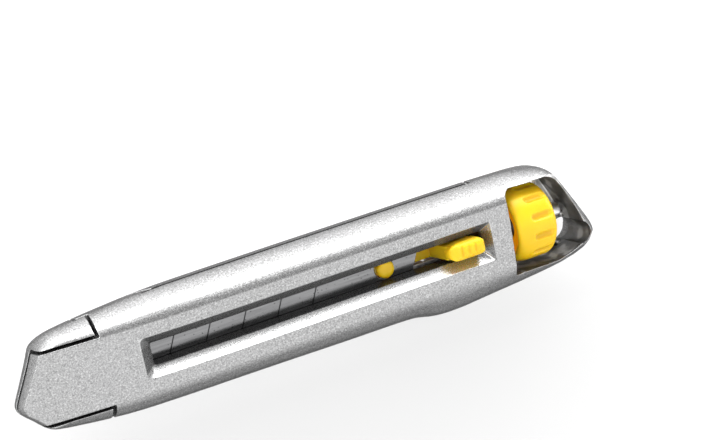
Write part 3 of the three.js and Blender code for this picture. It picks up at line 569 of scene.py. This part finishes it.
def lock_stud():
    """Rolled thread from the boss of the back half to the wheel, smooth neck and turned end."""
    x0, x1, r, xt, rt = 130.7, 153.6, 3.1, 156.8, 2.0
    n, pitch, depth = 72, 0.75, 0.28
    xs = np.arange(x0, xt + 1e-6, 0.075)
    v, f = [], []
    for x in xs:
        for k in range(n):
            a = 2 * math.pi * k / n
            if x < x0 + 0.5:
                q = r - (x0 + 0.5 - x) * 0.8
            elif x < x1 - 0.5:
                t = (x / pitch - k / n) % 1
                q = r - depth * 2 * abs(t - 0.5) ** 1.2
                q -= 0.0 if x < 152 else 0.0
            elif x < x1:
                q = r - 0.3 - (x - x1 + 0.5) * 0.6
            elif x < xt - 0.35:
                q = rt + 0.02 * math.sin(x * 40)
            else:
                q = rt - (x - xt + 0.35) * 0.9
            v.append((x, q * math.cos(a), AXIS_Z + q * math.sin(a)))
    m = len(xs)
    for i in range(m - 1):
        for k in range(n):
            l = (k + 1) % n
            f.append((i * n + k, i * n + l, (i + 1) * n + l, (i + 1) * n + k))
    v += [(x0, 0, AXIS_Z), (xt - 0.25, 0, AXIS_Z)]
    for k in range(n):
        l = (k + 1) % n
        f.append((m * n, k, l)); f.append((m * n + 1, (m - 1) * n + l, (m - 1) * n + k))
    return Solid(outward(fresh("stud", v, f)))


def blade():
    z, t, h = 7.45, 0.3, 9.0
    nose, slope, tail, hole = 6.1, 0.5, 112.0, 102.4
    bar = section([(-h, z - 0.03), (-h + 1.4, z - t), (h - 0.06, z - t), (h, z - t + 0.06), (h, z + t - 0.06), (h - 0.06, z + t), (-h + 1.4, z + t), (-h, z + 0.03)], 0, 130)
    s = bar & plan([(nose, -h - 0.01), (tail - slope * h, -h - 0.01), (tail + slope * h, h + 0.01), (nose + 2 * slope * h, h + 0.01)], 5, 10)
    for k in range(-2, 5):
        x = 41.14 + 10.19 * k
        s = s - plan([(x - slope * 11 - 0.13, -11), (x - slope * 11 + 0.13, -11), (x + slope * 11 + 0.13, 11), (x + slope * 11 - 0.13, 11)], z + t - 0.12, z + 2)
    return s - rod("z", hole, 0, 0, PEG[2], 4, 11, 64)


# --------------------------------------------------------------- materials
def material(name):
    m = bpy.data.materials.new(name)
    m.use_nodes = True
    t = m.node_tree
    t.nodes.clear()
    out = t.nodes.new("ShaderNodeOutputMaterial")
    p = t.nodes.new("ShaderNodeBsdfPrincipled")
    t.links.new(p.outputs[0], out.inputs[0])
    co = t.nodes.new("ShaderNodeTexCoord")
    return m, t, p, co.outputs["Object"]


def noise(t, vec, scale, detail=3, rough=0.55, stretch=None):
    if stretch:
        mp = t.nodes.new("ShaderNodeMapping")
        mp.inputs["Scale"].default_value = stretch
        t.links.new(vec, mp.inputs[0])
        vec = mp.outputs[0]
    n = t.nodes.new("ShaderNodeTexNoise")
    n.inputs["Scale"].default_value = scale
    n.inputs["Detail"].default_value = detail
    n.inputs["Roughness"].default_value = rough
    t.links.new(vec, n.inputs["Vector"])
    return n.outputs["Fac"]


def remap(t, val, a, b, lo, hi, smooth=False):
    n = t.nodes.new("ShaderNodeMapRange")
    n.interpolation_type = "SMOOTHSTEP" if smooth else "LINEAR"
    n.clamp = True
    for i, q in enumerate((a, b, lo, hi)):
        n.inputs[i + 1].default_value = q
    t.links.new(val, n.inputs[0])
    return n.outputs[0]


def ramp(t, val, stops):
    n = t.nodes.new("ShaderNodeValToRGB")
    e = n.color_ramp.elements
    while len(e) < len(stops):
        e.new(0.5)
    for el, (p, c) in zip(e, stops):
        el.position, el.color = p, (*c, 1)
    t.links.new(val, n.inputs[0])
    return n.outputs[0]


def mix(t, fac, a, b, kind="MIX"):
    n = t.nodes.new("ShaderNodeMix")
    n.data_type, n.blend_type = "RGBA", kind
    for sock, q in ((n.inputs[0], fac), (n.inputs[6], a), (n.inputs[7], b)):
        if isinstance(q, (tuple, list)):
            sock.default_value = (*q, 1) if len(q) == 3 else q
        elif isinstance(q, (int, float)):
            sock.default_value = q
        else:
            t.links.new(q, sock)
    return n.outputs[2]


def math_(t, kind, a, b=None):
    n = t.nodes.new("ShaderNodeMath")
    n.operation = kind
    for i, q in enumerate((a, b)):
        if q is None:
            continue
        if isinstance(q, (int, float)):
            n.inputs[i].default_value = q
        else:
            t.links.new(q, n.inputs[i])
    return n.outputs[0]


def bump(t, p, height, dist, strength=1.0, after=None):
    b = t.nodes.new("ShaderNodeBump")
    b.inputs["Distance"].default_value = dist
    b.inputs["Strength"].default_value = strength
    t.links.new(height, b.inputs["Height"])
    if after:
        t.links.new(after, b.inputs["Normal"])
    if p:
        t.links.new(b.outputs[0], p.inputs["Normal"])
    return b.outputs[0]


# mask for painted highlights along sharp edge lines, from pointiness
def edge_highlight(t, lo=0.52, hi=0.60):
    g = t.nodes.new("ShaderNodeNewGeometry")
    return remap(t, g.outputs["Pointiness"], lo, hi, 0, 1)


def ring_marks(t, vec, centre, radius, width):
    """1 on a circle in plan round centre (shared frame, metres), for a shallow moulded ring."""
    s = t.nodes.new("ShaderNodeSeparateXYZ")
    t.links.new(vec, s.inputs[0])
    dx, dy = math_(t, "SUBTRACT", s.outputs[0], centre[0]), math_(t, "SUBTRACT", s.outputs[1], centre[1])
    d = math_(t, "SQRT", math_(t, "ADD", math_(t, "MULTIPLY", dx, dx), math_(t, "MULTIPLY", dy, dy)))
    d = math_(t, "ABSOLUTE", math_(t, "SUBTRACT", d, radius))
    return remap(t, d, 0, width, 1, 0, True)


def inside(t, vec, lo, hi, soft=0.00012):
    """1 inside a box of the model, in its own mm, with soft faces."""
    s = t.nodes.new("ShaderNodeSeparateXYZ")
    t.links.new(vec, s.inputs[0])
    r = 1
    for k in range(3):
        if lo[k] is not None:
            a = (lo[k] - ORG[k]) / 1000
            r = math_(t, "MULTIPLY", remap(t, s.outputs[k], a - soft, a + soft, 0, 1), r)
        if hi[k] is not None:
            b = (hi[k] - ORG[k]) / 1000
            r = math_(t, "MULTIPLY", remap(t, s.outputs[k], b - soft, b + soft, 1, 0), r)
    return r


def cast_paint(name, mark=None, dark=None, slot=None):
    m, t, p, vec = material(name)
    grain = noise(t, vec, 2600, 2, 0.6)
    fleck = noise(t, vec, 4200, 1, 0.5)
    cloud = noise(t, vec, 45, 3, 0.5)
    value = ramp(t, grain, [(0.30, (0.13, 0.13, 0.13)), (0.45, (0.21, 0.21, 0.21)), (0.58, (0.26, 0.26, 0.26)), (0.72, (0.38, 0.38, 0.38))])
    value = mix(t, remap(t, cloud, 0.35, 0.7, 0.0, 0.12), value, (0.25, 0.25, 0.26))
    if mark:
        # painted highlight on the edge-side slope of the slot's mouth and a painted lighter tone on the spine-side
        # slope; painted reflections and shade in patches inside the window and the recess
        mouth = inside(t, vec, (32.5, -5.35, 13.2), (130.2, -2.6, None))
        value = mix(t, math_(t, "MULTIPLY", mouth, 0.6), value, (0.55, 0.55, 0.55))
        far_slope_light = inside(t, vec, (29.9, 2.7, 13.2), (131.2, 5.35, None))
        value = mix(t, math_(t, "MULTIPLY", far_slope_light, 0.45), value, (0.44, 0.44, 0.44))
        s = t.nodes.new("ShaderNodeSeparateXYZ")
        t.links.new(vec, s.inputs[0])
        slant = math_(t, "ADD", s.outputs[0], math_(t, "MULTIPLY", s.outputs[1], 0.45))
        limit = (159.9 - ORG[0] - 0.45 * ORG[1]) / 1000
        slant = remap(t, slant, limit - 0.0001, limit + 0.0001, 1, 0)
        well = math_(t, "MAXIMUM", inside(t, vec, (136.9, -11.65, None), (153.2, 11.65, 15.2)),
                     math_(t, "MULTIPLY", slant, inside(t, vec, (153.0, -10.55, 4.5), (161.0, 11.3, 15.2))))
        well_reflection_patches = noise(t, vec, 190, 2, 0.45)
        value = mix(t, math_(t, "MULTIPLY", well, 0.75), value, ramp(t, well_reflection_patches, [(0.38, (0.14, 0.14, 0.14)), (0.52, (0.24, 0.24, 0.24)), (0.60, (0.62, 0.62, 0.62))]))
    # painted highlight along sharp edge lines
    value = mix(t, math_(t, "MULTIPLY", edge_highlight(t), 0.35), value, (0.58, 0.58, 0.58))
    if slot:
        # painted highlight round the slot's outer lip, painted shade over the deep cavity behind it
        value = mix(t, math_(t, "MULTIPLY", inside(t, vec, *slot[0]), 0.6), value, (0.75, 0.75, 0.75))
        value = mix(t, math_(t, "MULTIPLY", inside(t, vec, *slot[1]), 0.9), value, (0.03, 0.03, 0.03))
    if dark:
        # shadowed lip of the seam along the spine side
        value = mix(t, math_(t, "MULTIPLY", inside(t, vec, *dark, 0.00005), 0.92), value, (0.01, 0.01, 0.01))
    if mark:
        # painted shade over the recessed back face of the web
        web = inside(t, vec, (153.2, -11.5, 3.3), (163.0, 11.5, 3.8))
        value = mix(t, math_(t, "MULTIPLY", web, 0.55), value, (0.07, 0.07, 0.07))
        value = mix(t, math_(t, "MULTIPLY", ring_marks(t, vec, *mark), 0.5), value, (0.05, 0.05, 0.05))
        # painted shade as a dark line where the collar round the hanging hole meets the web, painted highlight along
        # the collar's top
        hole, near = ((HANG[0] - ORG[0]) / 1000, (HANG[1] - ORG[1]) / 1000), inside(t, vec, (149.0, -11.0, 5.0), (163.0, 6.0, 7.2))
        collar_foot_shade = math_(t, "MULTIPLY", ring_marks(t, vec, hole, 0.0049, 0.0006), near)
        collar_rim_highlight = math_(t, "MULTIPLY", ring_marks(t, vec, hole, 0.0040, 0.0005), near)
        value = mix(t, math_(t, "MULTIPLY", collar_foot_shade, 0.85), value, (0.03, 0.03, 0.03))
        value = mix(t, math_(t, "MULTIPLY", collar_rim_highlight, 0.8), value, (0.85, 0.85, 0.85))
    t.links.new(value, p.inputs["Base Color"])
    p.inputs["Metallic"].default_value = 0.9
    rough = remap(t, fleck, 0.3, 0.7, 0.20, 0.34)
    if mark:
        rough = math_(t, "ADD", rough, math_(t, "MULTIPLY", well, 0.14))
    t.links.new(rough, p.inputs["Roughness"])
    p.inputs["Specular Tint"].default_value = (0.25, 0.25, 0.25, 1)
    p.inputs["Specular IOR Level"].default_value = 0.2
    fine = bump(t, None, grain, 0.00004, 0.7)
    wave = bump(t, None, noise(t, vec, 420, 2, 0.5), 0.00006, 0.35, fine)
    if mark:
        wave = bump(t, None, ring_marks(t, vec, *mark), 0.00016, 0.8, wave)
    t.links.new(wave, p.inputs["Normal"])
    return m


def rack_metal():
    m, t, p, vec = material("rack_bare_cast")
    a = noise(t, vec, 900, 4, 0.65)
    b = noise(t, vec, 260, 2, 0.5)
    value = ramp(t, a, [(0.28, (0.06, 0.06, 0.065)), (0.42, (0.20, 0.20, 0.205)), (0.62, (0.33, 0.33, 0.335)), (0.8, (0.45, 0.45, 0.455))])
    value = mix(t, remap(t, b, 0.35, 0.65, 0, 0.5), value, (0.17, 0.17, 0.175))
    # painted highlight along the sharp edge lines of the teeth
    value = mix(t, math_(t, "MULTIPLY", edge_highlight(t), 0.8), value, (0.85, 0.85, 0.86))
    t.links.new(value, p.inputs["Base Color"])
    p.inputs["Metallic"].default_value = 0.85
    t.links.new(remap(t, a, 0.3, 0.7, 0.28, 0.55), p.inputs["Roughness"])
    bump(t, p, a, 0.00008, 0.8)
    return m


def blade_steel():
    m, t, p, vec = material("blade_ground_steel")
    grind = noise(t, vec, 1500, 3, 0.6, (0.05, 1.0, 1.0))
    spot = t.nodes.new("ShaderNodeTexVoronoi")
    spot.inputs["Scale"].default_value = 900
    t.links.new(vec, spot.inputs["Vector"])
    spot = spot.outputs["Distance"]
    value = ramp(t, grind, [(0.3, (0.10, 0.10, 0.102)), (0.7, (0.15, 0.15, 0.152))])
    value = mix(t, remap(t, spot, 0.12, 0.155, 0.95, 0), value, (0.02, 0.02, 0.02))
    # darker along the break lines on the top face
    s = t.nodes.new("ShaderNodeSeparateXYZ")
    t.links.new(vec, s.inputs[0])
    along = math_(t, "SUBTRACT", s.outputs[0], math_(t, "MULTIPLY", s.outputs[1], 0.5))
    along = math_(t, "MULTIPLY", math_(t, "SUBTRACT", along, (41.14 - ORG[0] + 0.5 * ORG[1]) / 1000), 1000 / 10.19)
    along = math_(t, "ABSOLUTE", math_(t, "SUBTRACT", math_(t, "FRACT", math_(t, "ADD", along, 20.5)), 0.5))
    line = math_(t, "MULTIPLY", remap(t, along, 0.014, 0.024, 0.85, 0), inside(t, vec, (None, None, 7.5), (87.0, None, None)))
    value = mix(t, line, value, (0.012, 0.012, 0.012))
    t.links.new(value, p.inputs["Base Color"])
    p.inputs["Metallic"].default_value = 1.0
    t.links.new(remap(t, grind, 0.3, 0.7, 0.13, 0.2), p.inputs["Roughness"])
    bump(t, p, grind, 0.00001, 0.5)
    return m


def plastic(name, grooves=False):
    m, t, p, vec = material(name)
    a, b = noise(t, vec, 90, 2, 0.5), noise(t, vec, 2400, 2, 0.5)
    value = ramp(t, a, [(0.3, (0.56, 0.355, 0.006)), (0.7, (0.60, 0.39, 0.009))])
    # painted highlight along sharp edge lines
    value = mix(t, math_(t, "MULTIPLY", edge_highlight(t, 0.51, 0.58), 0.35), value, (0.66, 0.46, 0.02))
    if grooves:
        # painted shade: darker amber at the bottom of the finger grooves
        s = t.nodes.new("ShaderNodeSeparateXYZ")
        t.links.new(vec, s.inputs[0])
        dy, dz = math_(t, "ADD", s.outputs[1], ORG[1] / 1000), math_(t, "SUBTRACT", s.outputs[2], (AXIS_Z - ORG[2]) / 1000)
        away = math_(t, "SQRT", math_(t, "ADD", math_(t, "MULTIPLY", dy, dy), math_(t, "MULTIPLY", dz, dz)))
        groove_shade = math_(t, "MULTIPLY", remap(t, away, (WHEEL["r"] - 0.55) / 1000, (WHEEL["r"] - 0.12) / 1000, 0.6, 0), inside(t, vec, (142.9, None, None), (148.4, None, None)))
        value = mix(t, groove_shade, value, (0.46, 0.24, 0.002))
        # painted glow in the dish: brighter orange and a faint emission, standing in for light that comes through the
        # thin plastic
        dish_glow = math_(t, "MULTIPLY", remap(t, away, 0.0071, 0.0080, 1, 0), inside(t, vec, (None, None, None), (140.8, None, None)))
        value = mix(t, dish_glow, value, (0.80, 0.34, 0.004))
        p.inputs["Emission Color"].default_value = (1.0, 0.36, 0.0, 1)
        t.links.new(math_(t, "MULTIPLY", dish_glow, 0.35), p.inputs["Emission Strength"])
    t.links.new(value, p.inputs["Base Color"])
    t.links.new(remap(t, b, 0.3, 0.7, 0.30, 0.40), p.inputs["Roughness"])
    p.inputs["Specular IOR Level"].default_value = 0.22
    p.inputs["Subsurface Weight"].default_value = 0.55
    p.inputs["Subsurface Radius"].default_value = (0.0060, 0.0028, 0.0003)
    p.inputs["Subsurface Scale"].default_value = 1.0
    bump(t, p, b, 0.00002, 0.35)
    return m


def turned_metal(name, dark, light, rough, axis_lines=900, bright_from=None):
    m, t, p, vec = material(name)
    a = noise(t, vec, axis_lines, 3, 0.6, (1.0, 0.12, 0.12))
    b = noise(t, vec, 500, 3, 0.6)
    value = ramp(t, a, [(0.3, dark), (0.7, light)])
    value = mix(t, remap(t, b, 0.5, 0.75, 0, 0.4), value, dark)
    if bright_from:
        value = mix(t, inside(t, vec, (bright_from, None, None), (None, None, None)), value, mix(t, a, (0.50, 0.50, 0.50), (0.85, 0.85, 0.85)))
    # painted highlight along sharp edge lines
    value = mix(t, math_(t, "MULTIPLY", edge_highlight(t), 0.6), value, tuple(min(1, c * 1.6 + 0.1) for c in light))
    t.links.new(value, p.inputs["Base Color"])
    p.inputs["Metallic"].default_value = 1.0
    t.links.new(remap(t, b, 0.3, 0.7, rough - 0.06, rough + 0.1), p.inputs["Roughness"])
    bump(t, p, a, 0.00002, 0.5)
    return m


# ----------------------------------------------------------------- assembly
V = 0.15
web_mark = (((155.6 - ORG[0]) / 1000, (0.3 - ORG[1]) / 1000), 0.0015, 0.00028)
PAINT = cast_paint("cast_paint_front", web_mark, ((36, 12.5, 7.5), (131, None, SEAM_HI + 0.28)))
PAINT_BACK = cast_paint("cast_paint_back", None, ((36, 12.5, SEAM_LO - 0.28), (131, None, 7.5)),
                        (((BS["x0"] - 0.16, -BS["y"] - 0.16, None), (BS["x1"] + 0.16, BS["y"] + 0.16, 2.2)), ((33.0, -11.3, 2.4), (131.0, 11.3, 8.3))))
YELLOW = plastic("yellow_plastic_gloss")
YELLOW_WHEEL = plastic("yellow_plastic_wheel", True)
placed(softened(front_shell(), V, 2), "front_casting", "front_half", PAINT, ("front_shell",))
placed(softened(back_shell(), V, 2), "back_casting", "back_half", PAINT_BACK, ("back_shell",))
RM = rack_metal()
placed(softened(rack_rail(1), 0.12, 2), "rack_spine_side", "back_half", RM, ("rack_rail_spine_side",))
placed(softened(rack_rail(-1), 0.12, 2), "rack_edge_side", "back_half", RM, ("rack_rail_edge_side",))
placed(softened(slider(), 0.12, 14), "thumb_slider", "slider", YELLOW, ("slider",))
placed(softened(lock_wheel(), 0.16, 3), "screw_lock_wheel", "wheel", YELLOW_WHEEL, ("lock_wheel",))
placed(ring(141.7, 150.6, 4.2, 3.5).ob, "threaded_insert", "wheel", turned_metal("insert_brass", (0.30, 0.20, 0.07), (0.75, 0.56, 0.25), 0.3), ("wheel_insert",))
placed(ring(137.5, 138.7, 5.2, 3.6).ob, "flat_washer", "front_half", turned_metal("washer_zinc", (0.35, 0.35, 0.36), (0.62, 0.62, 0.63), 0.3), ("thrust_washer",))
placed(lock_stud().ob, "threaded_stud", "back_half", turned_metal("stud_black_steel", (0.03, 0.03, 0.033), (0.12, 0.12, 0.125), 0.32, bright_from=153.2), ("lock_stud",))
pin = [(-PIN["half"], 0), (-PIN["half"], 0.6), (-PIN["half"] + 0.15, PIN["r"]), (PIN["half"] - 0.15, PIN["r"]), (PIN["half"], 0.6), (PIN["half"], 0)]
pin = turned(pin, 40)
moved(pin, Matrix.Translation((PIN["x"], 0, AXIS_Z)) @ Matrix.Rotation(math.pi / 2, 4, "Z") @ Matrix.Translation((0, 0, -AXIS_Z)))
placed(pin.ob, "cross_pin", "back_half", turned_metal("pin_steel", (0.4, 0.4, 0.41), (0.68, 0.68, 0.69), 0.25), ("stud_pin",))
bl = blade().ob
placed(bl, "snap_off_blade", "blade", blade_steel(), ("blade",))
bl.data.shade_flat()

# ------------------------------------------------------------------- stage
def sheet(name, pts, mat):
    me = bpy.data.meshes.new(name)
    me.from_pydata(pts, [], [tuple(range(len(pts)))])
    ob = bpy.data.objects.new(name, me)
    me.materials.append(mat)
    bpy.context.scene.collection.objects.link(ob)
    return ob


m, t, p, vec = material("studio_floor")
t.links.new(ramp(t, noise(t, vec, 6, 2), [(0.3, (0.52, 0.52, 0.52)), (0.7, (0.53, 0.53, 0.53))]), p.inputs["Base Color"])
p.inputs["Roughness"].default_value = 0.9
p.inputs["Specular IOR Level"].default_value = 0.1
# translucent white table, lit a little from beneath on the spine side
across = t.nodes.new("ShaderNodeSeparateXYZ")
t.links.new(vec, across.inputs[0])
p.inputs["Emission Color"].default_value = (1, 1, 1, 1)
glow = math_(t, "ADD", remap(t, across.outputs[1], -0.028, 0.022, 0.0, 0.8, True), remap(t, across.outputs[1], 0.018, 0.055, 0.0, 1.8, True))
t.links.new(glow, p.inputs["Emission Strength"])
floor = sheet("floor", [(-6, -6, -0.0002), (6, -6, -0.0002), (6, 6, -0.0002), (-6, 6, -0.0002)], m)


def area(name, at_, target, size, power, colour=(1, 1, 1)):
    l = bpy.data.lights.new(name, "AREA")
    l.shape, l.size, l.size_y, l.energy, l.color = "RECTANGLE", size[0], size[1], power, colour
    o = bpy.data.objects.new(name, l)
    o.location = at_
    o.rotation_euler = (Vector(target) - Vector(at_)).to_track_quat("-Z", "Y").to_euler()
    bpy.context.scene.collection.objects.link(o)
    return o



# soft box all round: bright low on the spine side, a darker gap, an even top and a dimmer edge side
world = bpy.data.worlds.new("studio")
world.use_nodes = True
wt = world.node_tree
bg = wt.nodes["Background"]
gen = wt.nodes.new("ShaderNodeTexCoord")
sep = wt.nodes.new("ShaderNodeSeparateXYZ")
wt.links.new(gen.outputs["Generated"], sep.inputs[0])
turn = math_(wt, "ARCTAN2", sep.outputs[1], sep.outputs[2])
turn = remap(wt, turn, -math.pi / 2, math.pi / 2, 0, 1)
SKY = [(-90, 0.18), (-70, 0.38), (-54, 0.62), (-35, 0.78), (-12, 0.84), (5, 0.78), (20, 0.50), (36, 0.26), (52, 0.28), (63, 0.50), (69, 1.2), (75, 2.9), (83, 3.6), (90, 3.6)]
wt.links.new(ramp(wt, turn, [((d + 90) / 180, (q / 4, q / 4, q / 4)) for d, q in SKY]), bg.inputs[0])
bg.inputs[1].default_value = 12.0
bpy.context.scene.world = world

# camera
cam = bpy.data.cameras.new("camera")
cam.sensor_width, cam.lens = 36.0, 115.93
cam.clip_start, cam.clip_end = 0.01, 50
eye = bpy.data.objects.new("camera", cam)
bpy.context.scene.collection.objects.link(eye)
right, down, ahead = (0.86394, -0.20428, 0.46031), (-0.28760, -0.95046, 0.11798), (0.41340, -0.23431, -0.87988)
place = (np.array([-148.7, 154.6, 534.2]) - ORG) / 1000
rot = Matrix((right, [-q for q in down], [-q for q in ahead])).transposed()
eye.matrix_world = Matrix.Translation(Vector(place)) @ rot.to_4x4()
bpy.context.scene.camera = eye
bpy.context.scene.view_settings.view_transform = "Standard"
